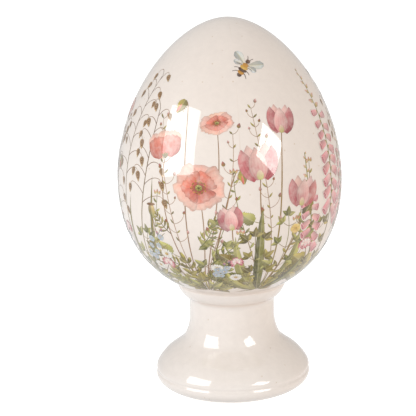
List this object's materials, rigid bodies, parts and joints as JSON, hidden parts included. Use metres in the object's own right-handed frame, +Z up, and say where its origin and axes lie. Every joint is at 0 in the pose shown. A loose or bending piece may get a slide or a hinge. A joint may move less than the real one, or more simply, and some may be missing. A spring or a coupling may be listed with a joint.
{
  "type": "decorative egg on stand",
  "caption": "Large glazed ceramic egg with a printed flower design, fixed on a turned pedestal with a collar, flared bell and ringed foot.",
  "frame": {"origin": "on the axis of the egg and stand, in the plane that the foot ring stands on", "axes": "+Z up along the axis of the egg and stand, from foot to tip; -Y towards the viewer of the picture"},
  "size_m": [0.143, 0.143, 0.24],
  "materials": {
    "egg_glaze": "glossy cream glaze over a printed flower design",
    "joint_slip": "fired slip, glazed over at its edge",
    "stand_glaze": "glossy cream glaze, bare foot ring"
  },
  "bodies": {
    "root": {"egg_shell": "egg_glaze", "slip_joint": "joint_slip", "stand": "stand_glaze"}
  },
  "joints": []
}
